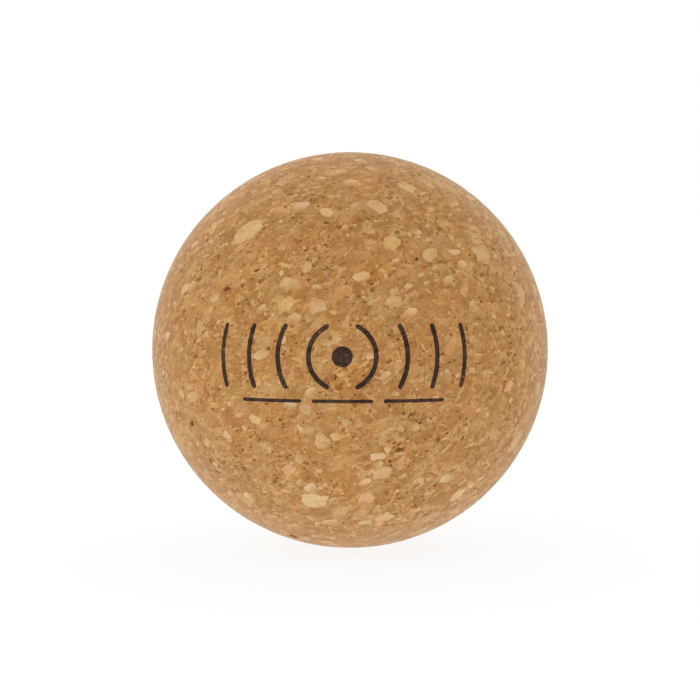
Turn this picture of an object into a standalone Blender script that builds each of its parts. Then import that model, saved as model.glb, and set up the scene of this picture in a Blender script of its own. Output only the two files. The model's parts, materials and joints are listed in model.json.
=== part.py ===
"""Cork massage ball, 65 mm across.

The ball is pressed from bark granules that a thin binder glues together, then turned and sanded
round. Here the fine granulate is one body, cork_body. Each large granule that reaches the surface is
a solid of its own, set in a pocket of that body and sanded flush with it. The printed mark is a row
of thin ink films in shallow recesses: a dot with ripples on both sides, over a broken line.

Metres, +Z up. The origin is the centre of the ball, the mark faces -Y, and the ball rests on its
lowest point. Longitude is counted from -Y, positive towards +X, and latitude is positive upwards.
"""
import math
import random

import bmesh
import bpy
from mathutils import Vector

MM = 0.001

# Driving dimensions
BALL_RADIUS = 32.5 * MM
SPHERE_SEGMENTS = 56
SPHERE_RINGS = 28
GAP = 0.3 * MM                  # clearance between a piece and its pocket
CUTTER_RISE = 1.0 * MM          # how far a cutter stands out of the ball
MITRE_LIMIT = 0.5               # keeps a grown outline's sharp corners from running away
SHARP_ANGLE = math.radians(35)  # edges bent further than this aren't shaded smooth

# Large granules
GRANULE_CORNERS = 11
GRANULE_THICKNESS = 0.55        # depth into the ball, as a share of the width
GRANULE_MIN_DEPTH = 1.2 * MM
GRANULE_TAPER = 0.8             # size of the inner end against the outer end
GRANULE_JITTER = 0.13           # how far a corner leaves the even outline
CORNER_SHIFT = 0.25             # how far a corner slides along it, as a share of their spacing
OUTLINE_POWER = 2.5             # 2 is an ellipse, higher is boxier
PRESS_AXIS = Vector((-0.47, 0.0, 0.88))    # granules lie flat across this direction
FRONT_SEED = 100                # the first granule's seed, and each next one has the next seed

# Printed mark
INK_DEPTH = 0.2 * MM
STROKE_WIDTH = 0.9 * MM
MARK_HEIGHT = 0.7 * MM          # the dot's centre above the ball's centre
DOT_RADIUS = 1.7 * MM
DOT_STEPS = 24
RIPPLE_RADII = (5.0 * MM, 9.7 * MM, 14.4 * MM, 19.1 * MM)
RIPPLE_HALF_HEIGHT = 4.4 * MM
RIPPLE_STEPS = 14
LINE_HEIGHT = -5.9 * MM
LINE_WIDTH = 0.65 * MM
LINE_DASHES = {"left": (-15.5 * MM, -6.5 * MM), "middle": (-4.3 * MM, 4.3 * MM),
               "right": (6.5 * MM, 15.5 * MM)}
DASH_STEPS = 8
END_STEPS = 4                   # cross-sections in each rounded end of a stroke
END_START = math.radians(14)    # where they start, as an angle from the stroke's tip

# Colours as sRGB bytes, with roughness
FINISHES = {
    "cork": ((184, 136, 87), 0.85),
    "granule_cream": ((214, 172, 122), 0.8),
    "granule_straw": ((207, 160, 103), 0.8),
    "granule_tan": ((193, 146, 98), 0.82),
    "granule_pink": ((205, 158, 117), 0.82),
    "print_ink": ((62, 46, 37), 0.6),
}

# Large granules around the mark: longitude, latitude and turn in degrees, length and width in mm
FRONT_GRANULES = (
    (-34, 36, 33, 5.4, 4.4, "cream"),
    (-7, 14.5, -10, 3.7, 2.4, "tan"),
    (15, 32.5, 20, 2.9, 2.7, "straw"),
    (29, 53.5, -45, 3.9, 2.8, "cream"),
    (12, 45, -45, 4.2, 2.7, "pink"),
    (47, 28.5, 5, 4.4, 3.9, "tan"),
    (27, 29, 50, 3.3, 2.2, "straw"),
    (-16, 21, 27, 2.5, 1.5, "cream"),
    (61, 17, 70, 3.5, 2.8, "tan"),
    (-54, 19, 60, 2.4, 1.9, "cream"),
    (-54, 37.5, -30, 3.6, 2.1, "straw"),
    (-43, 8, 80, 2.8, 2.2, "tan"),
    (-16, 14.5, 35, 3.4, 2.4, "straw"),
    (-25, -16, 5, 2.4, 2.1, "straw"),
    (-11.5, -17, 92, 3.0, 1.4, "cream"),
    (-6, -21.5, 30, 2.9, 2.6, "tan"),
    (-36, -21, -15, 2.0, 1.7, "cream"),
    (11, -24.5, 35, 3.8, 1.9, "cream"),
    (12.5, -31.5, 30, 4.1, 2.3, "tan"),
    (-10, -42, 8, 5.6, 3.6, "cream"),
    (8, -41, 0, 2.8, 2.5, "pink"),
    (17, -50, 5, 3.2, 2.6, "cream"),
    (46, -42, 60, 3.3, 2.4, "cream"),
    (-17, -31, 22, 3.3, 2.2, "pink"),
    (-43, -44, -50, 3.6, 2.7, "tan"),
    (65, -25, 70, 5.0, 3.7, "tan"),
    (14, 16, 14, 3.5, 1.6, "tan"),
    (-10.5, 25, 80, 2.3, 1.8, "straw"),
    (57, 54, -60, 4.4, 3.1, "tan"),
    (-46, -24, 40, 2.4, 1.7, "tan"),
)

# Large granules on the rest of the ball
BACK_COUNT = 16
BACK_EDGE = 0.06                # they start this far behind the ball's middle, in radii
BACK_STEPS = (0.7549, 0.5698)   # shares of a turn and of the height between tried places
BACK_SIZES_MM = (3.0, 5.4)
BACK_WIDTH_SHARES = (0.55, 0.8)
BACK_TURN_SPREAD = 0.5          # radians either way
BACK_SEED = 7
BACK_TONES = ("cream", "tan", "straw", "pink")
MARGIN = 5.0 * MM               # least distance between one of these and its neighbours


def clear_scene():
    for item in list(bpy.data.objects):
        bpy.data.objects.remove(item, do_unlink=True)


def linear(byte):
    share = byte / 255
    return share / 12.92 if share <= 0.04045 else ((share + 0.055) / 1.055) ** 2.4


def make_material(name):
    colour, roughness = FINISHES[name]
    material = bpy.data.materials.new(name)
    material.use_nodes = True
    shader = material.node_tree.nodes["Principled BSDF"]
    shader.inputs["Base Color"].default_value = (*[linear(byte) for byte in colour], 1.0)
    shader.inputs["Roughness"].default_value = roughness
    shader.inputs["Metallic"].default_value = 0.0
    return material


def direction(longitude, latitude):
    """Unit vector from the ball's centre, for angles in radians."""
    return Vector((math.sin(longitude) * math.cos(latitude),
                   -math.cos(longitude) * math.cos(latitude),
                   math.sin(latitude)))


def tangent_axes(normal, turn):
    """East and north at a place on the ball, turned counter-clockwise as seen from outside."""
    east = Vector((0.0, 0.0, 1.0)).cross(normal).normalized()
    north = normal.cross(east)
    return (east * math.cos(turn) + north * math.sin(turn),
            north * math.cos(turn) - east * math.sin(turn))


def grown(outline, distance):
    """A counter-clockwise outline moved outwards by distance along its corners."""
    result = []
    for index, point in enumerate(outline):
        before = (point - outline[index - 1]).normalized()
        after = (outline[(index + 1) % len(outline)] - point).normalized()
        outward = Vector((before.y + after.y, -before.x - after.x)).normalized()
        along = max(MITRE_LIMIT, outward.dot(Vector((after.y, -after.x))))
        result.append(point + outward * (distance / along))
    return result


def add_piece(name, build, material, collection):
    """A new object from a function that fills a bmesh."""
    mesh = bpy.data.meshes.new(name)
    shape = bmesh.new()
    build(shape)
    bmesh.ops.recalc_face_normals(shape, faces=shape.faces)
    shape.to_mesh(mesh)
    shape.free()
    mesh.shade_smooth()
    mesh.set_sharp_from_angle(angle=SHARP_ANGLE)
    if material:
        mesh.materials.append(material)
    piece = bpy.data.objects.new(name, mesh)
    collection.objects.link(piece)
    return piece


def fill_plug(shape, outer, inner, outer_centre, inner_centre):
    """A closed plug between an outer and an inner ring, each capped by a fan."""
    top = [shape.verts.new(point) for point in outer]
    foot = [shape.verts.new(point) for point in inner]
    crown = shape.verts.new(outer_centre)
    base = shape.verts.new(inner_centre)
    for index in range(len(top)):
        after = (index + 1) % len(top)
        shape.faces.new((top[index], top[after], crown))
        shape.faces.new((foot[after], foot[index], base))
        shape.faces.new((top[after], top[index], foot[index], foot[after]))


def fill_strip(shape, outer_left, outer_right, inner_left, inner_right):
    """A closed strip with a four-sided cross-section at each step."""
    rows = [[shape.verts.new(point) for point in row]
            for row in (outer_left, outer_right, inner_right, inner_left)]
    for side in range(4):
        near, far = rows[side], rows[(side + 1) % 4]
        for step in range(len(near) - 1):
            shape.faces.new((near[step], near[step + 1], far[step + 1], far[step]))
    for end in (0, -1):
        shape.faces.new([row[end] for row in rows])


class Granule:
    """One large granule: its place, its outline in the tangent plane and its depth."""

    def __init__(self, name, normal, turn, length, width, tone, dice):
        self.name = name
        self.normal = normal
        self.axes = tangent_axes(normal, turn)
        self.reach = max(length, width) / 2
        self.tone = tone
        self.depth = max(GRANULE_MIN_DEPTH, width * GRANULE_THICKNESS)
        self.outline = []
        for corner in range(GRANULE_CORNERS):
            slide = dice.uniform(-CORNER_SHIFT, CORNER_SHIFT)
            angle = 2 * math.pi * (corner + slide) / GRANULE_CORNERS
            across = abs(math.cos(angle)) ** OUTLINE_POWER + abs(math.sin(angle)) ** OUTLINE_POWER
            size = across ** (-1 / OUTLINE_POWER) * (1 + dice.uniform(-1, 1) * GRANULE_JITTER)
            self.outline.append(Vector((math.cos(angle) * length, math.sin(angle) * width)) * size / 2)

    def ring(self, outline, radius):
        centre = self.normal * BALL_RADIUS
        points = [centre + self.axes[0] * point.x + self.axes[1] * point.y for point in outline]
        return [point.normalized() * radius for point in points]

    def fill(self, shape):
        floor = BALL_RADIUS - self.depth
        inner = [point * GRANULE_TAPER for point in self.outline]
        fill_plug(shape, self.ring(self.outline, BALL_RADIUS), self.ring(inner, floor),
                  self.normal * BALL_RADIUS, self.normal * floor)

    def fill_pocket(self, shape):
        top = BALL_RADIUS + CUTTER_RISE
        floor = BALL_RADIUS - self.depth - GAP
        inner = grown([point * GRANULE_TAPER for point in self.outline], GAP)
        fill_plug(shape, self.ring(grown(self.outline, GAP), top), self.ring(inner, floor),
                  self.normal * top, self.normal * floor)


class Stroke:
    """One printed stroke: a centre line on the wrapped mark, with a width and round ends."""

    def __init__(self, name, points, width):
        self.name = name
        self.points = points
        self.width = width

    def sections(self, extra):
        """Left and right edge points of each cross-section, on the wrapped mark."""
        half = self.width / 2 + extra
        first = (self.points[0] - self.points[1]).normalized()
        last = (self.points[-1] - self.points[-2]).normalized()
        end_step = (math.pi / 2 - END_START) / END_STEPS
        angles = [END_START + step * end_step for step in range(END_STEPS)]
        rows = [(self.points[0] + first * half * math.cos(angle), half * math.sin(angle))
                for angle in angles]
        rows += [(point, half) for point in self.points]
        rows += [(self.points[-1] + last * half * math.cos(angle), half * math.sin(angle))
                 for angle in reversed(angles)]
        left, right = [], []
        for index, (centre, reach) in enumerate(rows):
            ahead = rows[min(index + 1, len(rows) - 1)][0]
            behind = rows[max(index - 1, 0)][0]
            along = (ahead - behind).normalized()
            side = Vector((-along.y, along.x)) * reach
            left.append(centre + side)
            right.append(centre - side)
        return left, right

    def fill_between(self, shape, extra, outer_radius, inner_radius):
        edges = self.sections(extra)
        outer = [[wrapped(point, outer_radius) for point in edge] for edge in edges]
        inner = [[wrapped(point, inner_radius) for point in edge] for edge in edges]
        fill_strip(shape, *outer, *inner)

    def fill(self, shape):
        self.fill_between(shape, 0.0, BALL_RADIUS, BALL_RADIUS - INK_DEPTH)

    def fill_pocket(self, shape):
        self.fill_between(shape, GAP, BALL_RADIUS + CUTTER_RISE, BALL_RADIUS - INK_DEPTH - GAP)


class Dot:
    """The round dot in the middle of the mark."""

    name = "print_dot"

    def __init__(self):
        self.normal = direction(0.0, MARK_HEIGHT / BALL_RADIUS)

    def fill_disc(self, shape, radius, outer_radius, inner_radius):
        rim = []
        for step in range(DOT_STEPS):
            angle = 2 * math.pi * step / DOT_STEPS
            rim.append(Vector((math.cos(angle) * radius, MARK_HEIGHT + math.sin(angle) * radius)))
        fill_plug(shape, [wrapped(point, outer_radius) for point in rim],
                  [wrapped(point, inner_radius) for point in rim],
                  self.normal * outer_radius, self.normal * inner_radius)

    def fill(self, shape):
        self.fill_disc(shape, DOT_RADIUS, BALL_RADIUS, BALL_RADIUS - INK_DEPTH)

    def fill_pocket(self, shape):
        self.fill_disc(shape, DOT_RADIUS + GAP, BALL_RADIUS + CUTTER_RISE,
                       BALL_RADIUS - INK_DEPTH - GAP)


def wrapped(point, radius):
    """A point of the flat mark, wrapped onto a sphere of the given radius."""
    return direction(point.x / BALL_RADIUS, point.y / BALL_RADIUS) * radius


def front_granules():
    granules = []
    for index, row in enumerate(FRONT_GRANULES):
        longitude, latitude, turn, length, width, tone = row
        dice = random.Random(FRONT_SEED + index)
        normal = direction(math.radians(longitude), math.radians(latitude))
        granules.append(Granule(f"front_granule_{index + 1:02d}", normal, math.radians(turn),
                                length * MM, width * MM, tone, dice))
    return granules


def lying_turn(normal, dice):
    """The turn that lays a granule flat across the pressing direction, give or take."""
    east, north = tangent_axes(normal, 0.0)
    flat = PRESS_AXIS.cross(normal)
    return math.atan2(flat.dot(north), flat.dot(east)) + dice.uniform(-BACK_TURN_SPREAD, BACK_TURN_SPREAD)


def back_granules(others):
    """Loosely even places behind the ball's middle, clear of each other and of the others."""
    dice = random.Random(BACK_SEED)
    granules = []
    step = 0
    while len(granules) < BACK_COUNT:
        angle = 2 * math.pi * step * BACK_STEPS[0]
        height = 1 - 2 * (step * BACK_STEPS[1] % 1.0)
        ring = math.sqrt(1 - height * height)
        normal = Vector((ring * math.cos(angle), ring * math.sin(angle), height))
        length = dice.uniform(*BACK_SIZES_MM) * MM
        width = length * dice.uniform(*BACK_WIDTH_SHARES)
        granule = Granule(f"back_granule_{len(granules) + 1:02d}", normal, lying_turn(normal, dice),
                          length, width, BACK_TONES[len(granules) % len(BACK_TONES)], dice)
        step += 1
        taken = others + granules
        clear = all((normal - other.normal).length * BALL_RADIUS
                    > granule.reach + other.reach + MARGIN for other in taken)
        if normal.y > BACK_EDGE and clear:
            granules.append(granule)
    return granules


def ripples():
    """Arcs around the dot, all of one height, the same on both sides."""
    strokes = []
    for index, radius in enumerate(RIPPLE_RADII):
        reach = math.asin(RIPPLE_HALF_HEIGHT / radius)
        for side, name in ((-1, "left"), (1, "right")):
            points = []
            for step in range(RIPPLE_STEPS + 1):
                angle = -reach + 2 * reach * step / RIPPLE_STEPS
                points.append(Vector((side * radius * math.cos(angle),
                                      MARK_HEIGHT + radius * math.sin(angle))))
            strokes.append(Stroke(f"print_ripple_{name}_{index + 1}", points, STROKE_WIDTH))
    return strokes


def dashes():
    strokes = []
    for name, (start, end) in LINE_DASHES.items():
        points = [Vector((start + (end - start) * step / DASH_STEPS, LINE_HEIGHT))
                  for step in range(DASH_STEPS + 1)]
        strokes.append(Stroke(f"print_line_{name}", points, LINE_WIDTH))
    return strokes


def make_body(pieces, material, collection):
    """The ball of fine granulate, with a pocket for each piece."""
    def fill_ball(shape):
        bmesh.ops.create_uvsphere(shape, u_segments=SPHERE_SEGMENTS, v_segments=SPHERE_RINGS,
                                  radius=BALL_RADIUS)

    def fill_pockets(shape):
        for piece in pieces:
            piece.fill_pocket(shape)

    body = add_piece("cork_body", fill_ball, material, collection)
    cutter = add_piece("pocket_cutter", fill_pockets, None, collection)
    cutter.hide_render = True
    cutter.display_type = "WIRE"
    cut = body.modifiers.new("pockets", "BOOLEAN")
    cut.operation = "DIFFERENCE"
    cut.solver = "EXACT"
    cut.object = cutter
    return body


def main():
    clear_scene()
    collection = bpy.context.scene.collection
    materials = {name: make_material(name) for name in FINISHES}
    granules = front_granules()
    granules += back_granules(granules)
    prints = [Dot()] + ripples() + dashes()
    make_body(granules + prints, materials["cork"], collection)
    for granule in granules:
        add_piece(granule.name, granule.fill, materials["granule_" + granule.tone], collection)
    for stroke in prints:
        add_piece(stroke.name, stroke.fill, materials["print_ink"], collection)


main()
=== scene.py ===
"""The looks of the cork massage ball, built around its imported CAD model. Metres, +Z up."""
import json
import math
import random

import bmesh
import bpy
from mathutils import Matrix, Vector, noise
from mathutils.bvhtree import BVHTree


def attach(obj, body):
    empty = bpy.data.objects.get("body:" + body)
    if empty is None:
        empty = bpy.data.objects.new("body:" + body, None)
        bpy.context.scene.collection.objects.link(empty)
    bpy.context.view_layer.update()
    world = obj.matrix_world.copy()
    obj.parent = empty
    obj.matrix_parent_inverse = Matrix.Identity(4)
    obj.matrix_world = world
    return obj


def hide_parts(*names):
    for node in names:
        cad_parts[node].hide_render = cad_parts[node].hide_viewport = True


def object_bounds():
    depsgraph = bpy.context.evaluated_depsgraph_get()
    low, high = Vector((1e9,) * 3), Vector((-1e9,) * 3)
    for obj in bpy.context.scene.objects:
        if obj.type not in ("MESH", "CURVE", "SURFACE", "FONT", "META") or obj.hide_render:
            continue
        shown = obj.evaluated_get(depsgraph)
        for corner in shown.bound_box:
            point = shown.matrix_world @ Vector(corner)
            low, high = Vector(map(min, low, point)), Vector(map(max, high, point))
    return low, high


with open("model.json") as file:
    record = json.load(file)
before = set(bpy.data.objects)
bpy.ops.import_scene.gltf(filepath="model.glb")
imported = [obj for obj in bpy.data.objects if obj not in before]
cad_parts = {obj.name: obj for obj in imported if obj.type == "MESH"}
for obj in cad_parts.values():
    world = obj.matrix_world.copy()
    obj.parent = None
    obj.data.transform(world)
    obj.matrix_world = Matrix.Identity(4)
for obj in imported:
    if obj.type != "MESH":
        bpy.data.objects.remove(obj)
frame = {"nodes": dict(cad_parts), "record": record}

cad_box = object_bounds()

MM = 0.001
BALL_RADIUS = cad_box[1][2]

# Camera and floor
LENS_MM = 85.0
SENSOR_MM = 36.0
BALL_SHARE = 0.5652             # how much of the picture's width the ball fills
CAMERA_AZIMUTH = 2.0            # degrees, positive towards +X
CAMERA_ELEVATION = 3.0
FLOOR_SIZE = 12.0
FLOOR_CUTS = 8
FLOOR_GREY = 0.13
FLOOR_GLOW = 0.88               # a light table, so that the ball's shadow stays faint
FLOOR_LIGHT = 1.01              # how brightly it lights the ball from below
FLOOR_TINT = (0.965, 1.0, 1.07, 1.0)
SURROUND_FRONT = 0.68           # light from the camera's side of the surround; 1 is white
SURROUND_BACK = 1.41
SURROUND_DIP = 0.17             # how much darker its sides are
SURROUND_LEAN = 0.06            # how much its right side is darkened and its left side brightened
FRONT_TINT = (1.0, 0.948, 0.930, 1.0)
BACK_TINT = (0.98, 1.0, 0.975, 1.0)
WHITE = (1.0, 1.0, 1.0, 1.0)
SUN = 0.51
SUN_WIDTH = 70.0                # degrees
SUN_FROM = (-0.40, -0.75, 0.36)

# Grain: bark granules lie flat across the direction that the ball was pressed in, and two warps
# tear their edges
PRESS_TILT = math.radians(28)   # the pressing direction, tilted from +Z towards -X
FLATTENING = 1.30
BEND_MM = 0.7                   # how far the slow warp moves a granule's edge
BEND_SIZE_MM = 3.0
TEAR_MM = 0.15                  # how far the fine warp moves it
TEAR_SIZE_MM = 0.7
CHIP_BEND = 0.4                 # the same warps on separate chips, as shares of the above
CHIP_TEAR = 0.75
GRADE_SHIFT = (17.0, 5.0, 11.0)     # moves each size of granule away from the one before
LEAN_FACTORS = (7.3, 9.1)       # these make new chances out of a granule's size and tone

# The ground: one row for each size of granule, with its spacing in mm, the share of places that hold
# a whole granule of this size, mean tone and spread of tone. A tone of 1 is the mean brightness.
GRADES = (
    (0.48, 1.00, 0.975, 0.12),
    (0.80, 0.50, 0.975, 0.12),
    (1.40, 0.42, 0.985, 0.10),
    (2.40, 0.28, 1.000, 0.10),
)
LARGE_MM = (0.6, 2.4)           # spacings over which streaks deepen
STREAKS = (0.08, 0.18)          # their depth in small and in large granules
STREAK_MM = 0.4
STREAK_STRETCH = (1.0, 1.0, 0.3)
STREAK_TURN = 40.0              # radians, times a granule's own chance
STREAK_SHIFT_MM = 60.0          # moves each granule's streaks away from the others'
SPECKLE = 0.39                  # fine change of tone
SPECKLE_MM = 0.30
SOFT = 0.22                     # slow change of tone
SOFT_MM = 2.4

# The ramp from tone to colour, as sRGB bytes
RAMP_LOW = 0.50
RAMP_HIGH = 1.40
TONES = (
    (0.50, (86, 42, 14)),
    (0.60, (110, 62, 23)),
    (0.70, (137, 83, 35)),
    (0.80, (156, 105, 49)),
    (0.90, (170, 118, 60)),
    (0.97, (179, 128, 69)),
    (1.03, (187, 138, 79)),
    (1.11, (199, 154, 99)),
    (1.19, (208, 167, 116)),
    (1.30, (219, 183, 136)),
    (1.40, (230, 197, 152)),
)
# Tints at the two ends of each lean, the size in mm of the zones that share one, and a lean's parts:
# the zone's weight, the granule's own weight and an offset
ORANGE_ENDS = ((0.955, 1.0, 1.10, 1.0), (1.05, 0.99, 0.88, 1.0))
ORANGE_ZONE_MM = 7.0
ORANGE_MIX = (1.5, 0.9, -0.7)
OLIVE_ENDS = ((1.02, 0.96, 1.01, 1.0), (0.98, 1.035, 0.97, 1.0))
OLIVE_ZONE_MM = 2.6
OLIVE_MIX = (1.6, 0.9, -0.75)
OLIVE_SHIFT = (50.0, 0.0, 0.0)

# Separate chips in a grid of places. Each row has the grid's spacing in mm, the share of places with
# a chip, the least and greatest half length in mm, the half lengths on three axes as shares of it,
# the two ends of its tones, the depth of its outline and its streaks, how far its edge fades in mm,
# and a shift of the grid. A pair of shares is for the printed face and for the rest of the ball; the
# larger share on the rest gives more pale chips there, partly the cork's own and partly painted rim
# light.
PLATES = (
    (3.0, 0.62, (0.9, 1.8), (1.0, 0.80, 0.60), (0.90, 1.10), 0.06, 0.12, 0.10, (19.0, 43.0, 67.0)),
    (2.0, 0.64, (0.6, 1.2), (1.0, 0.75, 0.60), (0.88, 1.13), 0.07, 0.13, 0.08, (47.0, 3.0, 29.0)),
)
CRUMBS = (
    (1.50, 0.66, (0.16, 0.68), (1.0, 0.75, 0.60), (0.90, 0.73), 0.0, 0.0, 0.09, (61.0, 17.0, 37.0)),
    (0.78, 0.75, (0.06, 0.36), (1.0, 0.75, 0.60), (0.88, 0.60), 0.0, 0.0, 0.05, (3.0, 71.0, 9.0)),
)
CHIPS = (
    (0.80, 0.42, (0.10, 0.30), (1.0, 0.70, 0.50), (1.05, 1.24), 0.05, 0.00, 0.04, (31.0, 7.0, 59.0)),
    (2.20, 0.66, (0.50, 1.20), (1.0, 0.85, 0.15), (1.20, 1.03), 0.14, 0.00, 0.04, (13.0, 47.0, 5.0)),
    # rows with a pair of shares: more pale chips on the sides and back, partly painted rim light
    (1.70, (0.52, 0.74), (0.40, 0.90), (1.0, 0.70, 0.50), (1.02, 1.21), 0.10, 0.14, 0.05,
     (83.0, 2.0, 23.0)),
    (3.60, (0.40, 0.95), (0.90, 1.90), (1.0, 0.75, 0.55), (1.03, 1.22), 0.12, 0.18, 0.05,
     (7.0, 29.0, 41.0)),
)
PALE_CHIP_AND_RIM_LIGHT_BELT_MM = (-25.0, -12.0)        # along Y, where a pair's first share gives way to its second, which adds pale chips as painted rim light in part
CRUMB_ZONE_MM = 6.0             # crumbs gather in zones of this size
CRUMB_ZONE_EDGE = (0.38, 0.62)
CRUMB_SWELL_MM = (-0.10, 0.05)  # how much they grow outside such a zone and inside it
CHIP_BOXINESS = 0.5             # 0 is an ellipsoid and 1 a box
CHIP_CUTS = ((0.75, 0.85, 0.3), (-0.95, 0.55, -0.4), (0.3, -1.1, 0.5), (-0.55, -0.6, 0.95))
CHIP_TURN = 97.0                # radians, times a chip's own chance
CHIP_OUTLINE_MM = (-0.12, -0.01)
CHIP_STRETCH = (0.5, 1.4, 2.4)      # of a chip's streaks, on its own three axes
CHIP_FOLLOW = 0.35                  # how much they follow the ball as well
CHIP_SHADING = (0.05, 0.08, 0.03)   # rise of tone across a chip, on the same axes
CHIP_COVER = 0.85               # mean opacity of a streaked chip
CHIP_VEIL = 4.0                 # how much of its darker side sinks into the ground
SHARED_FIELDS = ("plain", "place", "frayed", "look")    # what the shared pattern gives a material

# Sanded cork
ROUGHNESS = 0.75
SPECULAR = 0.25
SHEEN = 0.20
SHEEN_ROUGHNESS = 0.4
SHEEN_TINT = (0.94, 0.96, 0.80, 1.0)

# Relief of the sanded surface
BODY_CUTS = 112                 # grid lines across each sixth of the ball
STEP_MM = 0.030                 # greatest height between neighbouring granules
GRIT_MM = 0.020
GRIT_SIZE_MM = 0.9
SHARP_ANGLE = math.radians(40)
FINE_GRIT_MM = 0.5              # size and height of the grit that is shading only
FINE_GRIT_HEIGHT = 0.08 * MM
FINE_GRIT_STRENGTH = 0.8

# Large granules and their pockets
FACE_TOLERANCE = 0.02 * MM
RIM_POINTS = 84
RIM_ROUGH_MM = 0.115
RIM_NOISE = ((0.9, 1.0), (2.6, 0.6), (6, 0.4))     # waves per mm, and weight
CORNER_SHARES = (0.2, 0.8)      # where the two cuts of a corner start along its sides
RIM_CUTS = 5                    # straight breaks along each outline
RIM_CUT_SHARES = (0.74, 0.94)   # how near the middle a break passes
SEAM_MM = 0.005                 # mean gap around a granule, which closes and opens along its rim
SEAM_SWING_MM = 0.05
SEAM_WAVES = 1.3                # per mm
SEAM_SHIFT = Vector((9.0, 4.0, 2.0))
RIM_RINGS_MM = (0.0, 0.03, 0.08, 0.15, 0.26)    # distances from the rim, and how far each is worn down
RIM_DROP_MM = (0.035, 0.015, 0.004, 0.0, 0.0)
INNER_RINGS = 8
DISH_MM = 0.02                  # how far the sanded face rises and falls, and its waves per mm
DISH_WAVES = 0.7
GRANULE_WALLS = ((1.0, 0.35), (0.92, 0.7), (0.82, 1.0))     # share of the outline, share of the depth
POCKET_WALLS = ((1.0, 0.35), (0.93, 0.7))
POCKET_FLOOR = 0.85             # share of the outline
POCKET_SPARE = 0.1 * MM         # room below a granule

# Pits where crumbs are torn out a little below the surface, painted darker by depth as shade in the cork
# material: longitude, latitude and turn in degrees, length and width in mm
PITS = (
    (-34.9, 18.9, 16, 1.4, 0.75),
    (16.5, -24.2, 15, 1.3, 0.8),
    (-50.4, -18.7, 35, 1.4, 0.9),
    (-38.0, -64.3, 0, 2.2, 1.8),
)
PIT_DEPTH = 0.24 * MM
PIT_RIM = 0.3                   # share of the depth where the walls turn inwards
PIT_FLOOR = 0.55                # share of the outline
PIT_FRAY = 0.7
PIT_WAVES = 2.5                 # per mm
PIT_SHIFT = 31                  # gives each pit a fray of its own
PIT_POINTS = 36
PIT_SHADE_LOOK = (0.66, 0.5, 0.5)     # painted shade in the pits and other hollows: tone, lean to orange, lean to olive
SHADE_DEPTHS_MM = (0.06, 0.16)      # depths over which the ground darkens to painted shade

# Ink of the printed mark
INK_LIFT = 0.018 * MM
INK_ROOT = 0.05 * MM
INK_EDGE_ROUGH = 0.025 * MM
INK_EDGE_WAVES = 2.2            # per mm
INK_CUTS = 3
INK_ROUNDS = 3                  # of smoothing along the border
INK_SMOOTHING = 0.3
INK_BYTES = ((44, 27, 17), (76, 52, 36))    # over dark and over pale cork
INK_TONES = (0.85, 1.2)
RUB_MM = 0.45                   # size of rubbed specks, and of the zones with more of them
RUB_ZONE_MM = 5.0
RUB_ZONE = 0.35
WORN_FROM = (0.82, 0.92)        # where the rubbing is strong enough to show the cork
WORN_MOST = 0.70
INK_ROUGHNESS = 0.7
INK_SPECULAR = 0.2
INK_BUMP = 0.6

# Large granules: mean tone and tint for each material slot, then the changes of tone within one
BARK = {
    "granule_cream": (1.21, (1.00, 1.00, 0.95, 1.0)),
    "granule_straw": (1.17, (1.01, 1.01, 0.86, 1.0)),
    "granule_tan": (1.12, (1.00, 1.00, 1.00, 1.0)),
    "granule_pink": (1.17, (1.03, 0.96, 1.01, 1.0)),
}
BANDS = 0.24                    # growth bands
BAND_MM = 1.5
BAND_STRETCH = (0.3, 1.0, 1.0)
LINES = 0.30                    # fine streaks between them
LINE_MM = 0.3
LINE_STRETCH = (0.2, 1.0, 1.0)
LINE_HEIGHT = 0.6               # share of the grit's height
BARK_HEIGHT = 0.05 * MM
WANDER = 1.3                    # how far bands and streaks leave the granule's own axis
WANDER_MM = 1.6
BAND_FOLLOW = 0.3               # how much they follow the ball as well
DUST = 0.22
MOODS = 0.04                    # from one granule to the next
# Pores: spacing, share of places, half lengths, the shares of them and the shift, as for the chips
PORES = (0.9, 0.4, (0.03, 0.18), (1.0, 0.7, 0.5), (5.0, 3.0, 1.0))
PORE_STRETCH = (0.5, 1.0, 1.0)
PORE_DEPTH = 0.16
PORE_EDGE_MM = (-0.02, 0.05)
TORN_MM = 0.24                  # how far binder and dust lap over a granule's rim
TORN_SIZE_MM = 1.0
RIM_SHADE = 0.16                # dark parts of the rim, where they end in mm, and the bands they follow
RIM_SHADE_MM = (0.0, 0.14)
RIM_SHADE_BANDS = (0.4, 0.6)
RIM_GLEAM = 0.07                # its light parts, in the same way
RIM_GLEAM_MM = (0.02, 0.16)
RIM_GLEAM_BANDS = (0.5, 0.35)
BARK_EDGE_MM = (-0.02, 0.09)    # where the ground gives way to the granule
BARK_COVER = 0.70               # opacity of the granule's darkest bands over the ground
BARK_COVER_BANDS = (0.28, 0.40)


def linear(byte):
    """Linear value of an sRGB byte."""
    share = byte / 255
    return share / 12.92 if share <= 0.04045 else ((share + 0.055) / 1.055) ** 2.4


def colour(red, green, blue):
    """Linear RGBA of three sRGB bytes."""
    return (linear(red), linear(green), linear(blue), 1.0)


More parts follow.
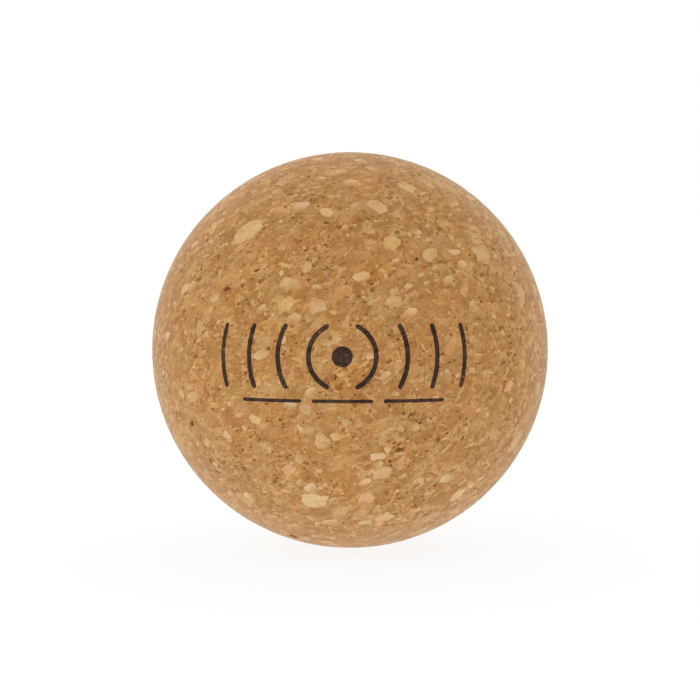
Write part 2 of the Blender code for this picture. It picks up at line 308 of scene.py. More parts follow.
class Graph:
    """Adds nodes to a shader or geometry tree and returns their output sockets."""

    def __init__(self, tree):
        self.tree = tree

    def plug(self, socket, value):
        """Links an output to a socket, or sets the socket to a constant."""
        if isinstance(value, bpy.types.NodeSocket):
            self.tree.links.new(value, socket)
        else:
            socket.default_value = value

    def node(self, kind, inputs=None, **settings):
        """A new node with its properties set and its named inputs filled."""
        made = self.tree.nodes.new(kind)
        for name, value in settings.items():
            setattr(made, name, value)
        for name, value in (inputs or {}).items():
            self.plug(made.inputs[name], value)
        return made

    def math(self, operation, *values, clamp=False):
        made = self.node("ShaderNodeMath", operation=operation, use_clamp=clamp)
        for socket, value in zip(made.inputs, values):
            self.plug(socket, value)
        return made.outputs[0]

    def around_zero(self, value, range_):
        """A value from 0 to 1, turned into one that goes as far below zero as above it."""
        return self.math("MULTIPLY_ADD", value, range_, -range_ / 2)

    def vector(self, operation, *values):
        made = self.node("ShaderNodeVectorMath", operation=operation)
        for socket, value in zip(made.inputs, values):
            self.plug(socket, value)
        return made.outputs[0]

    def scaled(self, vector, factor):
        made = self.node("ShaderNodeVectorMath", {"Vector": vector, "Scale": factor}, operation="SCALE")
        return made.outputs[0]

    def length(self, vector):
        return self.node("ShaderNodeVectorMath", {"Vector": vector}, operation="LENGTH").outputs["Value"]

    def parts(self, vector):
        return self.node("ShaderNodeSeparateXYZ", {"Vector": vector}).outputs

    def combined(self, *values):
        return self.node("ShaderNodeCombineXYZ", dict(zip("XYZ", values))).outputs[0]

    def mix(self, factor, low, high):
        made = self.node("ShaderNodeMix", data_type="FLOAT")
        for index, value in ((0, factor), (2, low), (3, high)):
            self.plug(made.inputs[index], value)
        return made.outputs[0]

    def mix_vector(self, factor, low, high):
        made = self.node("ShaderNodeMix", data_type="VECTOR")
        for index, value in ((0, factor), (4, low), (5, high)):
            self.plug(made.inputs[index], value)
        return made.outputs[1]

    def mix_colour(self, factor, low, high, blend="MIX"):
        made = self.node("ShaderNodeMix", data_type="RGBA", blend_type=blend)
        for index, value in ((0, factor), (6, low), (7, high)):
            self.plug(made.inputs[index], value)
        return made.outputs[2]

    def ramp(self, value, low, high, to_low=0.0, to_high=1.0):
        """Smoothly from to_low to to_high as value goes from low to high."""
        inputs = {"Value": value, "From Min": low, "From Max": high, "To Min": to_low, "To Max": to_high}
        return self.node("ShaderNodeMapRange", inputs, interpolation_type="SMOOTHSTEP").outputs[0]

    def noise(self, place, size, detail=2.0, rough=0.5):
        """Noise from 0 to 1 with features of about that size."""
        inputs = {"Vector": place, "Scale": 1 / size, "Detail": detail, "Roughness": rough}
        return self.node("ShaderNodeTexNoise", inputs).outputs[0]

    def noise_vector(self, place, size, detail=2.0):
        """Noise on three axes, each from -0.5 to 0.5."""
        inputs = {"Vector": place, "Scale": 1 / size, "Detail": detail}
        made = self.node("ShaderNodeTexNoise", inputs)
        return self.vector("SUBTRACT", made.outputs["Color"], (0.5, 0.5, 0.5))

    def cells(self, place, size):
        """Random colour, centre and distance of the nearest of scattered points."""
        return self.node("ShaderNodeTexVoronoi", {"Vector": place, "Scale": 1 / size}).outputs

    def turned(self, vector, axis, angle):
        inputs = {"Vector": vector, "Axis": axis, "Angle": angle}
        return self.node("ShaderNodeVectorRotate", inputs, rotation_type="AXIS_ANGLE").outputs[0]


def grain(graph, position):
    """The ground of pressed granules at a position in metres.

    Each place belongs to the largest granule that is present there.
    """
    plain = graph.scaled(position, 1 / MM)
    place = graph.turned(plain, (0.0, 1.0, 0.0), PRESS_TILT)
    place = graph.vector("MULTIPLY", place, (1.0, 1.0, FLATTENING))
    bend = graph.scaled(graph.noise_vector(place, BEND_SIZE_MM), BEND_MM * 2)
    tear = graph.scaled(graph.noise_vector(place, TEAR_SIZE_MM, 3.0), TEAR_MM * 4)
    frayed = graph.vector("ADD", graph.vector("ADD", place, bend), tear)
    chipped = graph.vector("ADD", graph.vector("ADD", place, graph.scaled(bend, CHIP_BEND)),
                           graph.scaled(tear, CHIP_TEAR))

    tone, identity, size = None, None, None
    for index, (spacing, share, mean, spread) in enumerate(GRADES):
        shifted = graph.vector("ADD", frayed, tuple(part * index for part in GRADE_SHIFT))
        cell = graph.cells(shifted, spacing)
        chance = graph.parts(cell["Color"])
        here = graph.math("MULTIPLY_ADD", chance[1], 2 * spread, mean - spread)
        if tone is None:
            tone, identity, size = here, cell["Color"], spacing
            continue
        present = graph.math("LESS_THAN", chance[0], share)
        tone = graph.mix(present, tone, here)
        identity = graph.mix_vector(present, identity, cell["Color"])
        size = graph.mix(present, size, spacing)
    return {"plain": plain, "place": place, "frayed": frayed, "chipped": chipped, "tone": tone,
            "identity": identity, "size": size}


def scattered(graph, place, spacing, share, reach, slim, shift):
    """Chips of bark, one in some cells of a grid, each turned its own way.

    reach is the least and greatest half length in mm, and slim the other two half lengths as shares
    of it. Gives how far inside a chip each place is, in mm, and the chip's chances and own axes.
    """
    shifted = graph.vector("ADD", place, shift)
    cell = graph.cells(shifted, spacing)
    chance = graph.parts(cell["Color"])
    local = graph.vector("SUBTRACT", shifted, cell["Position"])
    axis = graph.vector("SUBTRACT", cell["Color"], (0.5, 0.5, 0.5))
    turned = graph.turned(local, axis, graph.math("MULTIPLY", chance[0], CHIP_TURN))
    half = graph.math("MULTIPLY_ADD", chance[1], reach[1] - reach[0], reach[0])
    sized = graph.node("ShaderNodeVectorMath", {0: turned, 1: graph.scaled(slim, half)},
                       operation="DIVIDE").outputs[0]
    around = graph.length(sized)
    sides = graph.parts(graph.vector("ABSOLUTE", sized))
    boxy = graph.math("MAXIMUM", graph.math("MAXIMUM", sides[0], sides[1]), sides[2])
    norm = graph.math("MULTIPLY_ADD", boxy, CHIP_BOXINESS,
                      graph.math("MULTIPLY", around, 1 - CHIP_BOXINESS))
    for cut in CHIP_CUTS:
        beyond = graph.node("ShaderNodeVectorMath", {0: sized, 1: cut}, operation="DOT_PRODUCT")
        norm = graph.math("MAXIMUM", norm, beyond.outputs["Value"])
    inside = graph.math("MULTIPLY", graph.math("SUBTRACT", 1.0, norm),
                        graph.math("MULTIPLY", half, min(slim)))
    # A pair of shares gives more pale chips away from the printed face: partly the cork's own, partly
    # painted rim light
    if isinstance(share, tuple):
        along = graph.math("SUBTRACT", graph.parts(cell["Position"])[1], shift[1])
        share = graph.ramp(along, *PALE_CHIP_AND_RIM_LIGHT_BELT_MM, *share)
    present = graph.math("LESS_THAN", chance[0], share)
    return graph.mix(present, -1.0, inside), chance, sized


def lay_chips(graph, look, field, chips, tones, outline, lines, fade):
    """Lays scattered chips over a look, with a thin dark outline and streaks along each chip.

    A look is a tone with two leans from 0 to 1: to orange, and to olive.
    """
    inside, chance, sized = chips
    around = graph.ramp(inside, *CHIP_OUTLINE_MM, 0.0, outline)
    around = graph.math("MULTIPLY", around, chance[2])
    look = graph.vector("SUBTRACT", look, graph.combined(around, 0.0, 0.0))
    own = graph.math("MULTIPLY_ADD", chance[2], tones[1] - tones[0], tones[0])
    cover = graph.ramp(inside, -fade, fade)
    if lines:
        drawn = graph.vector("MULTIPLY", sized, CHIP_STRETCH)
        drawn = graph.vector("ADD", drawn, graph.scaled(field["place"], CHIP_FOLLOW))
        drawn = graph.noise(drawn, 1.0, 2.0, 0.6)
        own = graph.math("ADD", own, graph.around_zero(drawn, lines))
        shading = graph.node("ShaderNodeVectorMath", {0: sized, 1: CHIP_SHADING},
                             operation="DOT_PRODUCT").outputs["Value"]
        own = graph.math("ADD", own, shading)
        veil = graph.math("MULTIPLY_ADD", shading, CHIP_VEIL, CHIP_COVER, clamp=True)
        cover = graph.math("MULTIPLY", cover, veil)
    own = graph.combined(own, *leans(graph, chance))
    return graph.mix_vector(cover, look, own)


def leans(graph, chance):
    """Two numbers from 0 to 1 out of a cell's chances, unlike the ones that set size and tone."""
    return [graph.math("FRACT", graph.math("MULTIPLY", source, factor))
            for source, factor in zip((chance[1], chance[2]), LEAN_FACTORS)]


def cork_look(graph, field):
    """Tone and leans of the whole surface: ground, crumbs, shavings and chips."""
    place, frayed, chipped = field["place"], field["frayed"], field["chipped"]
    large = graph.ramp(field["size"], *LARGE_MM)
    axis = graph.vector("SUBTRACT", field["identity"], (0.5, 0.5, 0.5))
    chance = graph.parts(field["identity"])
    turned = graph.turned(frayed, axis, graph.math("MULTIPLY", chance[2], STREAK_TURN))
    drawn = graph.vector("MULTIPLY", turned, STREAK_STRETCH)
    drawn = graph.vector("ADD", drawn, graph.scaled(field["identity"], STREAK_SHIFT_MM))
    lines = graph.noise(drawn, STREAK_MM, 2.0, 0.6)
    depth = graph.mix(large, *STREAKS)
    tone = graph.math("MULTIPLY_ADD", graph.math("SUBTRACT", lines, 0.5), depth, field["tone"])
    look = graph.combined(tone, *leans(graph, chance))
    look = lay_layers(graph, look, field, chipped, PLATES)
    zones = graph.noise(place, CRUMB_ZONE_MM, 2.0, 0.5)
    swelling = graph.ramp(zones, *CRUMB_ZONE_EDGE, *CRUMB_SWELL_MM)
    look = lay_layers(graph, look, field, frayed, CRUMBS, swelling)
    speckle = graph.around_zero(graph.noise(place, SPECKLE_MM, 3.0, 0.65), SPECKLE)
    soft = graph.around_zero(graph.noise(place, SOFT_MM, 2.0, 0.5), SOFT)
    look = graph.vector("ADD", look, graph.combined(graph.math("ADD", speckle, soft), 0.0, 0.0))
    return lay_layers(graph, look, field, chipped, CHIPS)


def lay_layers(graph, look, field, place, layers, swelling=None):
    """Lays one row of chips after another, all grown by swelling in mm where that is given."""
    for spacing, share, reach, slim, tones, outline, lines, fade, shift in layers:
        inside, chance, sized = scattered(graph, place, spacing, share, reach, slim, shift)
        if swelling is not None:
            inside = graph.math("ADD", inside, swelling)
        look = lay_chips(graph, look, field, (inside, chance, sized), tones, outline, lines, fade)
    return look


def cork_group():
    """A node group with the whole cork pattern, which every material shares."""
    tree = bpy.data.node_groups.new("pressed_granules", "ShaderNodeTree")
    tree.interface.new_socket("Position", in_out="INPUT", socket_type="NodeSocketVector")
    graph = Graph(tree)
    field = grain(graph, graph.node("NodeGroupInput").outputs["Position"])
    field["look"] = cork_look(graph, field)
    leave = graph.node("NodeGroupOutput")
    for name in SHARED_FIELDS:
        tree.interface.new_socket(name, in_out="OUTPUT", socket_type="NodeSocketVector")
        graph.plug(leave.inputs[name], field[name])
    return tree


def cork_field(graph):
    """The cork pattern at the shaded place."""
    position = graph.node("ShaderNodeTexCoord").outputs["Object"]
    group = graph.node("ShaderNodeGroup", node_tree=bpy.data.node_groups["pressed_granules"])
    graph.plug(group.inputs["Position"], position)
    return {name: group.outputs[name] for name in SHARED_FIELDS}


def tone_colour(graph, tone):
    """The cork's colour at a tone: dark reddish brown through tan to cream."""
    made = graph.node("ShaderNodeValToRGB")
    stops = made.color_ramp.elements
    while len(stops) < len(TONES):
        stops.new(0.5)
    for stop, (level, rgb) in zip(stops, TONES):
        stop.position = (level - RAMP_LOW) / (RAMP_HIGH - RAMP_LOW)
        stop.color = colour(*rgb)
    share = graph.math("MULTIPLY_ADD", tone, 1 / (RAMP_HIGH - RAMP_LOW),
                       -RAMP_LOW / (RAMP_HIGH - RAMP_LOW))
    graph.plug(made.inputs["Fac"], share)
    return made.outputs["Color"]


def new_material(name):
    material = bpy.data.materials.new(name)
    material.use_nodes = True
    material.node_tree.nodes.clear()
    graph = Graph(material.node_tree)
    shader = graph.node("ShaderNodeBsdfPrincipled")
    output = graph.node("ShaderNodeOutputMaterial")
    graph.plug(output.inputs["Surface"], shader.outputs[0])
    return material, graph, shader


def lean_mix(graph, zone, own, shares):
    """A lean out of the zone's noise and the granule's own lean, with their weights and an offset."""
    zone_weight, own_weight, offset = shares
    return graph.math("ADD", graph.math("MULTIPLY", zone, zone_weight),
                      graph.math("MULTIPLY_ADD", own, own_weight, offset))


def cork_colour(graph, field, look):
    """The cork's colour, with grains and wide zones that lean to orange, olive or pink."""
    tone, orange, olive = graph.parts(look)
    orange = lean_mix(graph, graph.noise(field["place"], ORANGE_ZONE_MM, 2.0, 0.5), orange, ORANGE_MIX)
    tint = graph.mix_colour(orange, *ORANGE_ENDS)
    shade = graph.mix_colour(1.0, tone_colour(graph, tone), tint, "MULTIPLY")
    elsewhere = graph.vector("ADD", field["frayed"], OLIVE_SHIFT)
    olive = lean_mix(graph, graph.noise(elsewhere, OLIVE_ZONE_MM, 2.0, 0.6), olive, OLIVE_MIX)
    tint = graph.mix_colour(olive, *OLIVE_ENDS)
    return graph.mix_colour(1.0, shade, tint, "MULTIPLY")


def cork_material():
    """The fine granulate, painted darker where the surface lies deep, as shade in the pits and other
    hollows.
    """
    material, graph, shader = new_material("pressed_cork")
    field = cork_field(graph)
    # painted shade: the deeper the surface lies, the darker its colour
    depth = graph.math("SUBTRACT", BALL_RADIUS / MM, graph.length(field["plain"]))
    look = graph.mix_vector(graph.ramp(depth, *SHADE_DEPTHS_MM), field["look"], PIT_SHADE_LOOK)
    graph.plug(shader.inputs["Base Color"], cork_colour(graph, field, look))
    finish_cork(shader)
    grit = graph.noise(field["place"], FINE_GRIT_MM, 4.0, 0.65)
    bump = graph.node("ShaderNodeBump", {"Height": grit, "Strength": FINE_GRIT_STRENGTH,
                                         "Distance": FINE_GRIT_HEIGHT})
    graph.plug(shader.inputs["Normal"], bump.outputs[0])
    return material


def bark_material(slot):
    """A large granule: growth bands and streaks along it, pores, and binder over its torn rim."""
    mean, tint = BARK[slot]
    material, graph, shader = new_material(slot.replace("granule", "bark"))
    field = cork_field(graph)
    place = field["plain"]
    own = graph.node("ShaderNodeAttribute", attribute_name="own_place").outputs["Vector"]
    rim = graph.node("ShaderNodeAttribute", attribute_name="rim_distance").outputs["Fac"]
    mood = graph.node("ShaderNodeAttribute", attribute_name="mood").outputs["Fac"]
    wander = graph.scaled(graph.noise_vector(place, WANDER_MM), WANDER)
    followed = graph.scaled(place, BAND_FOLLOW)
    drawn = graph.vector("ADD", graph.vector("ADD", own, wander), followed)
    bands = graph.noise(graph.vector("MULTIPLY", drawn, BAND_STRETCH), BAND_MM, 3.0, 0.5)
    lines = graph.noise(graph.vector("MULTIPLY", drawn, LINE_STRETCH), LINE_MM, 3.0, 0.6)
    speckle = graph.noise(place, SPECKLE_MM, 3.0, 0.65)
    tone = graph.math("MULTIPLY_ADD", bands, BANDS, mean - BANDS / 2)
    tone = graph.math("ADD", tone, graph.around_zero(lines, LINES))
    tone = graph.math("ADD", tone, graph.around_zero(speckle, DUST))
    tone = graph.math("ADD", tone, graph.around_zero(mood, MOODS))
    pores, _, _ = scattered(graph, graph.vector("MULTIPLY", drawn, PORE_STRETCH), *PORES)
    tone = graph.math("SUBTRACT", tone, graph.ramp(pores, *PORE_EDGE_MM, 0.0, PORE_DEPTH))
    torn = graph.noise(place, TORN_SIZE_MM, 3.0, 0.55)
    torn = graph.math("MULTIPLY_ADD", torn, -TORN_MM * 4, TORN_MM * 2)
    inset = graph.math("ADD", rim, torn)
    edge = graph.math("MULTIPLY", graph.ramp(inset, *RIM_SHADE_MM, 1.0, 0.0),
                      graph.ramp(bands, *RIM_SHADE_BANDS))
    tone = graph.math("SUBTRACT", tone, graph.math("MULTIPLY", edge, RIM_SHADE))
    gleam = graph.math("MULTIPLY", graph.ramp(inset, *RIM_GLEAM_MM, 1.0, 0.0),
                       graph.ramp(bands, *RIM_GLEAM_BANDS))
    tone = graph.math("ADD", tone, graph.math("MULTIPLY", gleam, RIM_GLEAM))
    shade = graph.mix_colour(1.0, tone_colour(graph, tone), tint, "MULTIPLY")
    ground = cork_colour(graph, field, field["look"])
    solid = graph.ramp(bands, *BARK_COVER_BANDS, BARK_COVER, 1.0)
    cover = graph.math("MULTIPLY", graph.ramp(inset, *BARK_EDGE_MM), solid)
    graph.plug(shader.inputs["Base Color"], graph.mix_colour(cover, ground, shade))
    finish_cork(shader)
    height = graph.math("ADD", graph.math("MULTIPLY", lines, LINE_HEIGHT), speckle)
    bump = graph.node("ShaderNodeBump", {"Height": height, "Strength": FINE_GRIT_STRENGTH,
                                         "Distance": BARK_HEIGHT})
    graph.plug(shader.inputs["Normal"], bump.outputs[0])
    return material


def ink_material():
    """Thin dark ink on cork: the grain shows through a little, and specks have rubbed off."""
    material, graph, shader = new_material("print_ink_worn")
    field = cork_field(graph)
    shade = cork_colour(graph, field, field["look"])
    below = graph.ramp(graph.parts(field["look"])[0], *INK_TONES)
    ink = graph.mix_colour(below, *[colour(*rgb) for rgb in INK_BYTES])
    rub = graph.noise(field["place"], RUB_MM, 4.0, 0.7)
    patches = graph.noise(field["place"], RUB_ZONE_MM, 2.0, 0.5)
    worn = graph.math("MULTIPLY_ADD", patches, RUB_ZONE, rub)
    worn = graph.ramp(worn, *WORN_FROM, 0.0, WORN_MOST)
    graph.plug(shader.inputs["Base Color"], graph.mix_colour(worn, ink, shade))
    shader.inputs["Roughness"].default_value = INK_ROUGHNESS
    shader.inputs["Specular IOR Level"].default_value = INK_SPECULAR
    bump = graph.node("ShaderNodeBump", {"Height": rub, "Strength": INK_BUMP,
                                         "Distance": BARK_HEIGHT})
    graph.plug(shader.inputs["Normal"], bump.outputs[0])
    return material


def finish_cork(shader):
    """Sanded cork is matt, with a faint pale bloom at grazing angles."""
    shader.inputs["Roughness"].default_value = ROUGHNESS
    shader.inputs["Specular IOR Level"].default_value = SPECULAR
    shader.inputs["Sheen Weight"].default_value = SHEEN
    shader.inputs["Sheen Roughness"].default_value = SHEEN_ROUGHNESS
    shader.inputs["Sheen Tint"].default_value = SHEEN_TINT


def add_mesh(name, shape, material):
    """A new piece from a bmesh, shaded smooth."""
    mesh = bpy.data.meshes.new(name)
    shape.to_mesh(mesh)
    shape.free()
    mesh.shade_smooth()
    mesh.materials.append(material)
    piece = bpy.data.objects.new(name, mesh)
    bpy.context.scene.collection.objects.link(piece)
    return piece


def apply_modifiers(piece):
    """Bakes an object's modifiers into its mesh."""
    bpy.context.view_layer.update()
    evaluated = piece.evaluated_get(bpy.context.evaluated_depsgraph_get())
    made = bpy.data.meshes.new_from_object(evaluated)
    piece.modifiers.clear()
    old = piece.data
    piece.data = made
    bpy.data.meshes.remove(old)


def relief_nodes():
    """Geometry nodes that give the ball the small steps between granules and a fine grit."""
    tree = bpy.data.node_groups.new("granulate_relief", "GeometryNodeTree")
    tree.interface.new_socket("Geometry", in_out="INPUT", socket_type="NodeSocketGeometry")
    tree.interface.new_socket("Geometry", in_out="OUTPUT", socket_type="NodeSocketGeometry")
    graph = Graph(tree)
    entry = graph.node("NodeGroupInput")
    leave = graph.node("NodeGroupOutput")
    position = graph.node("GeometryNodeInputPosition").outputs[0]
    field = grain(graph, position)
    chance = graph.parts(field["identity"])
    step = graph.around_zero(chance[2], STEP_MM)
    grit = graph.around_zero(graph.noise(field["place"], GRIT_SIZE_MM, 3.0), GRIT_MM * 2)
    height = graph.math("MULTIPLY", graph.math("ADD", step, grit), MM)
    offset = graph.scaled(graph.vector("NORMALIZE", position), height)
    moved = graph.node("GeometryNodeSetPosition", {"Geometry": entry.outputs[0], "Offset": offset})
    graph.plug(leave.inputs[0], moved.outputs[0])
    return tree


def make_body(material, pockets):
    """The ball's granulate: an even grid on the sphere, with relief and the granules' pockets."""
    shape = bmesh.new()
    bmesh.ops.create_cube(shape, size=2.0)
    bmesh.ops.subdivide_edges(shape, edges=shape.edges, cuts=BODY_CUTS, use_grid_fill=True)
    for vertex in shape.verts:
        even = Vector([math.tan(value * math.pi / 4) for value in vertex.co])
        vertex.co = even.normalized() * BALL_RADIUS
    body = add_mesh("cork_granulate", shape, material)
    body.modifiers.new("relief", "NODES").node_group = relief_nodes()
    cut = body.modifiers.new("pockets", "BOOLEAN")
    cut.object = pockets
    cut.solver = "EXACT"
    apply_modifiers(body)
    body.data.set_sharp_from_angle(angle=SHARP_ANGLE)
    return body


class Rim:
    """The outline of a CAD granule's outer face, drawn again with torn edges."""

    def __init__(self, node):
        points = {tuple(round(value, 7) for value in vertex.co) for vertex in node.data.vertices}
        outer = [Vector(point) for point in points if Vector(point).length > BALL_RADIUS - FACE_TOLERANCE]
        mean = sum(outer, Vector()) / len(outer)
        crown = min(outer, key=lambda point: (point - mean).length)
        self.normal = crown.normalized()
        self.depth = BALL_RADIUS - min(Vector(point).length for point in points)
        corners = [point for point in outer if point != crown]
        side = Vector((0, 0, 1)).cross(self.normal).normalized()
        self.axes = (side, self.normal.cross(side))
        flat = [self.flattened(point) for point in corners]
        spread = [sum(point.x * point.x for point in flat), sum(point.y * point.y for point in flat),
                  sum(point.x * point.y for point in flat)]
        turn = 0.5 * math.atan2(2 * spread[2], spread[0] - spread[1])
        along = side * math.cos(turn) + self.axes[1] * math.sin(turn)
        self.axes = (along, self.normal.cross(along))
        flat = sorted((self.flattened(point) for point in corners),
                      key=lambda point: math.atan2(point.y, point.x))
        self.random = random.Random(node.name)
        self.mood = self.random.random()
        self.points = self.torn(self.broken(self.evened(self.rounded(self.rounded(flat)))))

    def flattened(self, point):
        """A point of the ball in the granule's own axes, on the plane that touches its crown."""
        on_plane = point * (BALL_RADIUS / point.dot(self.normal))
        return Vector((on_plane.dot(self.axes[0]), on_plane.dot(self.axes[1])))

    def rounded(self, outline):
        """Cuts each corner off once."""
        result = []
        for index, point in enumerate(outline):
            after = outline[(index + 1) % len(outline)]
            result += [point.lerp(after, share) for share in CORNER_SHARES]
        return result

    def evened(self, outline):
        """The same outline with its points evenly spaced."""
        closed = outline + [outline[0]]
        lengths = [(closed[i + 1] - closed[i]).length for i in range(len(outline))]
        total, result, passed, index = sum(lengths), [], 0.0, 0
        for step in range(RIM_POINTS):
            target = total * step / RIM_POINTS
            while passed + lengths[index] < target:
                passed += lengths[index]
                index += 1
            result.append(closed[index].lerp(closed[index + 1], (target - passed) / lengths[index]))
        return result

    def broken(self, outline):
        """Straight breaks across the outline's sides."""
        for _ in range(RIM_CUTS):
            turn = self.random.uniform(0.0, 2 * math.pi)
            across = Vector((math.cos(turn), math.sin(turn)))
            limit = max(point.dot(across) for point in outline) * self.random.uniform(*RIM_CUT_SHARES)
            outline = [point - across * max(0.0, point.dot(across) - limit) for point in outline]
        return outline

    def torn(self, outline):
        """Moves each point in or out by a seeded noise, coarse and fine."""
        result = []
        for point in outline:
            place = self.ball_place(point, BALL_RADIUS) / MM
            swing = sum(weight * noise.noise(place * waves) for waves, weight in RIM_NOISE)
            result.append(point * (1 + swing * RIM_ROUGH_MM * MM * 2 / point.length))
        return result

    def ball_place(self, point, radius):
        """Where a flat point lies on the sphere of that radius."""
        return (self.normal * BALL_RADIUS + self.axes[0] * point.x
                + self.axes[1] * point.y).normalized() * radius

    def grown(self, distance):
        """The outline moved out from the middle, by a distance that varies along it."""
        result = []
        for point in self.points:
            place = self.ball_place(point, BALL_RADIUS) / MM
            own = distance + SEAM_SWING_MM * MM * noise.noise(place * SEAM_WAVES + SEAM_SHIFT)
            result.append(point * (1 + own / point.length))
        return result


def bridge(shape, upper, lower):
    """Faces between two closed rings of equal length."""
    for index in range(len(upper)):
        after = (index + 1) % len(upper)
        shape.faces.new((upper[after], upper[index], lower[index], lower[after]))


def make_granule(name, rim, material):
    """A large granule: its sanded face with a worn rim, and rough walls down to its inner end."""
    shape = bmesh.new()
    own_place = shape.verts.layers.float_vector.new("own_place")
    rim_distance = shape.verts.layers.float.new("rim_distance")
    mood = shape.verts.layers.float.new("mood")

    def ring(share, radius, inset):
        """The outline scaled by a share, on the sphere of that radius, dished inside the rim."""
        made = []
        for point in rim.points:
            spot = point * share
            lift = 0.0
            if inset > 0.0:
                lift = DISH_MM * MM * noise.noise(rim.ball_place(spot, BALL_RADIUS) / MM * DISH_WAVES)
            vertex = shape.verts.new(rim.ball_place(spot, radius + lift))
            vertex[own_place] = (spot.x / MM, spot.y / MM, (BALL_RADIUS - radius) / MM)
            vertex[rim_distance] = inset / MM
            vertex[mood] = rim.mood
            made.append(vertex)
        return made

    reach = min(point.length for point in rim.points)
    rings = []
    for inset, drop in zip(RIM_RINGS_MM, RIM_DROP_MM):
        rings.append(ring(1 - inset * MM / reach, BALL_RADIUS - drop * MM, inset * MM))
    edge_share = 1 - RIM_RINGS_MM[-1] * MM / reach
    for step in range(1, INNER_RINGS):
        share = edge_share * (1 - step / INNER_RINGS)
        rings.append(ring(share, BALL_RADIUS, (1 - share) * reach))
    crown = shape.verts.new(rim.normal * BALL_RADIUS)
    crown[rim_distance] = reach / MM
    crown[mood] = rim.mood
    for outer, inner in zip(rings, rings[1:]):
        bridge(shape, inner, outer)
    for index, vertex in enumerate(rings[-1]):
        shape.faces.new((vertex, rings[-1][(index + 1) % RIM_POINTS], crown))
    walls = [rings[0]]
    for share, depth in GRANULE_WALLS:
        walls.append(ring(share, BALL_RADIUS - rim.depth * depth, 0.0))
        bridge(shape, walls[-2], walls[-1])
    shape.faces.new(list(reversed(walls[-1])))
    bmesh.ops.recalc_face_normals(shape, faces=shape.faces)
    return add_mesh(name, shape, material)


def add_plug(shape, rings):
    """A closed solid through rings of points, from the outermost to the innermost."""
    rings = [[shape.verts.new(point) for point in ring] for ring in rings]
    for upper, lower in zip(rings, rings[1:]):
        bridge(shape, upper, lower)
    shape.faces.new(rings[0])
    shape.faces.new(list(reversed(rings[-1])))


def pit_rings(longitude, latitude, turn, long_mm, wide_mm):
    """Frayed ellipses round a place on the ball, from above the surface to the pit's floor."""
    longitude, latitude, turn = [math.radians(angle) for angle in (longitude, latitude, turn)]
    normal = Vector((math.sin(longitude) * math.cos(latitude),
                     -math.cos(longitude) * math.cos(latitude), math.sin(latitude)))
    east = Vector((0, 0, 1)).cross(normal).normalized()
    along = east * math.cos(turn) + normal.cross(east) * math.sin(turn)
    across = normal.cross(along)
    rings = []
    for share, radius in ((1.0, BALL_RADIUS + MM), (1.0, BALL_RADIUS - PIT_DEPTH * PIT_RIM),
                          (PIT_FLOOR, BALL_RADIUS - PIT_DEPTH)):
        rings.append([])
        for step in range(PIT_POINTS):
            angle = 2 * math.pi * step / PIT_POINTS
            flat = Vector((math.cos(angle) * long_mm, math.sin(angle) * wide_mm, 0.0)) / 2
            fray = 1 + PIT_FRAY * noise.noise(flat * PIT_WAVES + normal * PIT_SHIFT)
            spot = (along * flat.x + across * flat.y) * MM * share * fray
            rings[-1].append((normal * BALL_RADIUS + spot).normalized() * radius)
    return rings


def make_pockets(rims):
    """One hidden cutter for all the granules' pockets and the pits."""
    shape = bmesh.new()
    for rim in rims:
        outline = rim.grown(SEAM_MM * MM)
        levels = [(1.0, BALL_RADIUS + MM)]
        levels += [(share, BALL_RADIUS - rim.depth * depth) for share, depth in POCKET_WALLS]
        levels.append((POCKET_FLOOR, BALL_RADIUS - rim.depth - POCKET_SPARE))
        add_plug(shape, [[rim.ball_place(point * share, radius) for point in outline]
                         for share, radius in levels])
    for pit in PITS:
        add_plug(shape, pit_rings(*pit))
    bmesh.ops.recalc_face_normals(shape, faces=shape.faces)
    mesh = bpy.data.meshes.new("pocket_cutter")
    shape.to_mesh(mesh)
    shape.free()
    cutter = bpy.data.objects.new("pocket_cutter", mesh)
    bpy.context.scene.collection.objects.link(cutter)
    return cutter


def make_ink(name, node, surface, material):
    """A film of ink over the body, with the outline of a CAD stroke's outer face."""
    shape = bmesh.new()
    shape.from_mesh(node.data)
    bmesh.ops.remove_doubles(shape, verts=shape.verts, dist=0.001 * MM)
    buried = [face for face in shape.faces
              if face.calc_center_median().length < BALL_RADIUS - INK_ROOT]
    bmesh.ops.delete(shape, geom=buried, context="FACES")
    bmesh.ops.subdivide_edges(shape, edges=shape.edges, cuts=INK_CUTS, use_grid_fill=True)
    for _ in range(INK_ROUNDS):
        border = [vertex for vertex in shape.verts if vertex.is_boundary]
        bmesh.ops.smooth_vert(shape, verts=border, factor=INK_SMOOTHING,
                              use_axis_x=True, use_axis_y=True, use_axis_z=True)
    for vertex in shape.verts:
        if vertex.is_boundary:
            place = vertex.co / MM * INK_EDGE_WAVES
            sideways = Vector((noise.noise(place), 0.0, noise.noise(place + Vector((8, 3, 5)))))
            vertex.co += sideways * INK_EDGE_ROUGH * 2
        outwards = vertex.co.normalized()
        hit = surface.ray_cast(outwards * BALL_RADIUS * 1.1, -outwards)[0]
        vertex.co = hit - outwards * INK_ROOT
    film = bmesh.ops.extrude_face_region(shape, geom=shape.faces[:], use_keep_orig=True)
    for item in film["geom"]:
        if isinstance(item, bmesh.types.BMVert):
            item.co += item.co.normalized() * (INK_ROOT + INK_LIFT)
    bmesh.ops.recalc_face_normals(shape, faces=shape.faces)
    return add_mesh(name, shape, material)


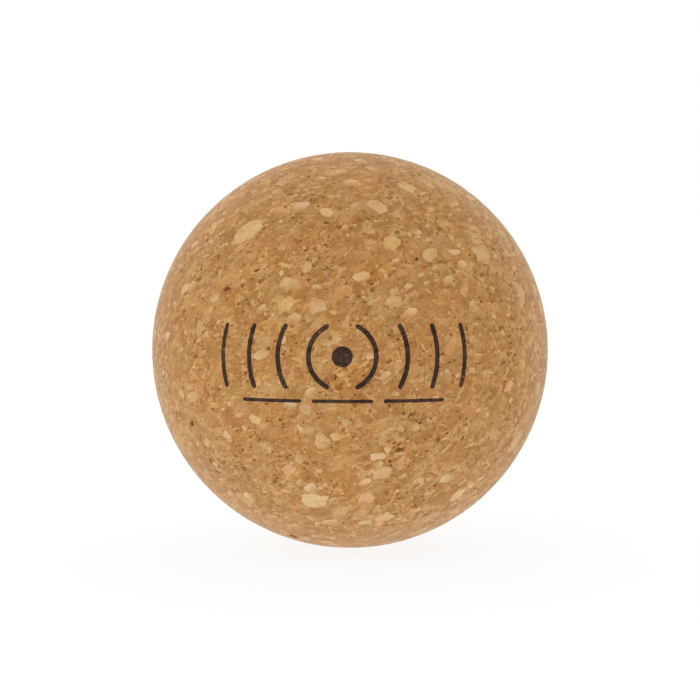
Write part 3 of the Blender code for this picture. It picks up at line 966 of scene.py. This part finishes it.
def make_floor():
    """A pale light table under the ball."""
    shape = bmesh.new()
    bmesh.ops.create_grid(shape, x_segments=FLOOR_CUTS, y_segments=FLOOR_CUTS, size=FLOOR_SIZE / 2)
    for vertex in shape.verts:
        vertex.co.z = cad_box[0][2]
    material, graph, shader = new_material("studio_floor")
    shader.inputs["Base Color"].default_value = (FLOOR_GREY, FLOOR_GREY, FLOOR_GREY, 1.0)
    shader.inputs["Roughness"].default_value = 1.0
    shader.inputs["Specular IOR Level"].default_value = 0.0
    seen = graph.node("ShaderNodeLightPath").outputs["Is Camera Ray"]
    graph.plug(shader.inputs["Emission Color"], graph.mix_colour(seen, FLOOR_TINT, WHITE))
    graph.plug(shader.inputs["Emission Strength"], graph.mix(seen, FLOOR_LIGHT, FLOOR_GLOW))
    floor = add_mesh("studio_floor", shape, material)


def make_lights():
    """A bright soft surround, warmer and dimmer in front, with a wide sun from the upper left."""
    world = bpy.data.worlds.new("studio")
    bpy.context.scene.world = world
    world.use_nodes = True
    graph = Graph(world.node_tree)
    background = world.node_tree.nodes["Background"]
    towards = graph.parts(graph.node("ShaderNodeTexCoord").outputs["Generated"])
    given = graph.ramp(towards[1], -1.0, 1.0, SURROUND_FRONT, SURROUND_BACK)
    sides = graph.math("MULTIPLY_ADD", graph.math("ABSOLUTE", towards[0]), -SURROUND_DIP, 1.0)
    sides = graph.math("MULTIPLY_ADD", towards[0], -SURROUND_LEAN, sides)
    given = graph.math("MULTIPLY", given, sides)
    tint = graph.mix_colour(graph.ramp(towards[1], -1.0, 1.0), FRONT_TINT, BACK_TINT)
    seen = graph.node("ShaderNodeLightPath").outputs["Is Camera Ray"]
    graph.plug(background.inputs["Color"], graph.mix_colour(seen, tint, WHITE))
    graph.plug(background.inputs["Strength"], graph.mix(seen, given, 1.0))
    data = bpy.data.lights.new("sun", "SUN")
    data.energy = SUN
    data.angle = math.radians(SUN_WIDTH)
    lamp = bpy.data.objects.new("sun", data)
    lamp.rotation_euler = (-Vector(SUN_FROM)).to_track_quat("-Z", "Y").to_euler()
    bpy.context.scene.collection.objects.link(lamp)


def make_camera():
    """Far enough away for the ball's outline to fill its share of the picture."""
    data = bpy.data.cameras.new("camera")
    data.lens = LENS_MM
    data.sensor_width = SENSOR_MM
    half_angle = math.atan(BALL_SHARE * SENSOR_MM / 2 / LENS_MM)
    distance = BALL_RADIUS / math.sin(half_angle)
    azimuth, elevation = math.radians(CAMERA_AZIMUTH), math.radians(CAMERA_ELEVATION)
    place = Vector((math.sin(azimuth) * math.cos(elevation), -math.cos(azimuth) * math.cos(elevation),
                    math.sin(elevation))) * distance
    camera = bpy.data.objects.new("camera", data)
    camera.location = place
    camera.rotation_euler = (-place).to_track_quat("-Z", "Y").to_euler()
    bpy.context.scene.collection.objects.link(camera)
    bpy.context.scene.camera = camera


scene = bpy.context.scene
scene.view_settings.view_transform = "Standard"
make_camera()
make_lights()
make_floor()


def settle(piece, node_name):
    """Attaches a finished piece to the root body and hides its CAD node."""
    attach(piece, "root")
    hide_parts(node_name)


slots = {part["node"]: part["material_slot"] for part in frame["record"]["subparts"]}
granule_nodes = sorted(name for name in frame["nodes"] if "granule" in name)
ink_nodes = sorted(name for name in frame["nodes"] if name.startswith("print_"))
rims = {name: Rim(frame["nodes"][name]) for name in granule_nodes}
pockets = make_pockets(rims.values())
cork_group()
body = make_body(cork_material(), pockets)
bpy.data.objects.remove(pockets, do_unlink=True)
settle(body, "cork_body")

barks = {slot: bark_material(slot) for slot in BARK}
for node_name, rim in rims.items():
    settle(make_granule(node_name + "_bark", rim, barks[slots[node_name]]), node_name)

outside = BVHTree.FromObject(body, bpy.context.evaluated_depsgraph_get())
worn_ink = ink_material()
for node_name in ink_nodes:
    settle(make_ink(node_name + "_ink", frame["nodes"][node_name], outside, worn_ink), node_name)
